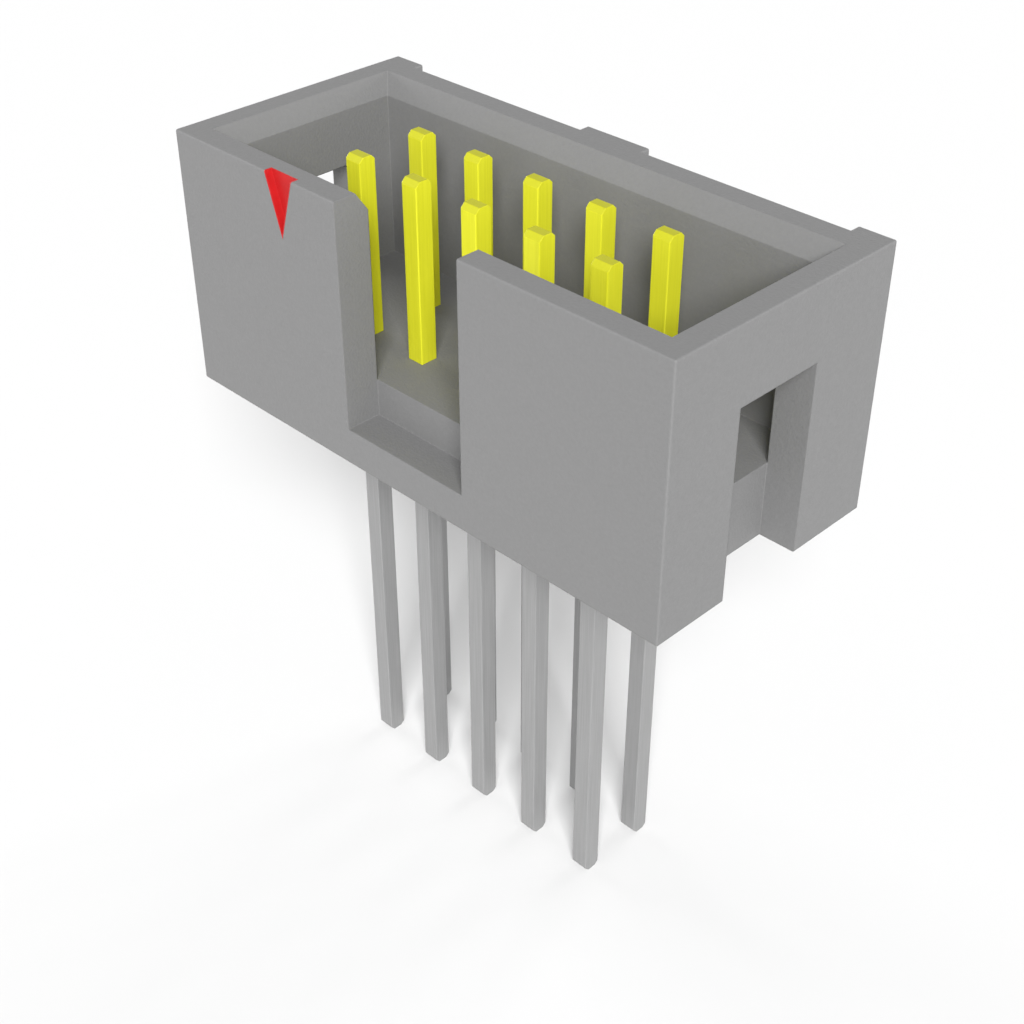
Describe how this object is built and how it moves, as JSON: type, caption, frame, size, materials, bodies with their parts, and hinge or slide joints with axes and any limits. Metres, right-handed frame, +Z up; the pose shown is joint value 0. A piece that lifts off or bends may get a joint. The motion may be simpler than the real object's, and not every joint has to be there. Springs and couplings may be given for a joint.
{
  "type": "pin header",
  "caption": "Shrouded two-row pin header with a key notch, open end slots, a contact 1 mark and long straight square tails.",
  "frame": {"origin": "on the seating plane, the underside of the housing, under the centre of the contact grid", "axes": "+X along the rows, away from the end with contact 1; +Y from the wall with the key notch towards the back wall; +Z up, from the tails to the mouth"},
  "size_m": [0.0204, 0.0092, 0.0236],
  "materials": {
    "housing": "mid grey moulded thermoplastic, fine matt texture",
    "contact": "square brass wire, yellow gold plating above the base and pale grey tin on the tail",
    "paint": "red marking paint"
  },
  "bodies": {
    "root": {"housing": "housing", "pin_1_mark": "paint", "pin_1": "contact", "pin_2": "contact", "pin_3": "contact", "pin_4": "contact", "pin_5": "contact", "pin_6": "contact", "pin_7": "contact", "pin_8": "contact", "pin_9": "contact", "pin_10": "contact"}
  },
  "joints": []
}
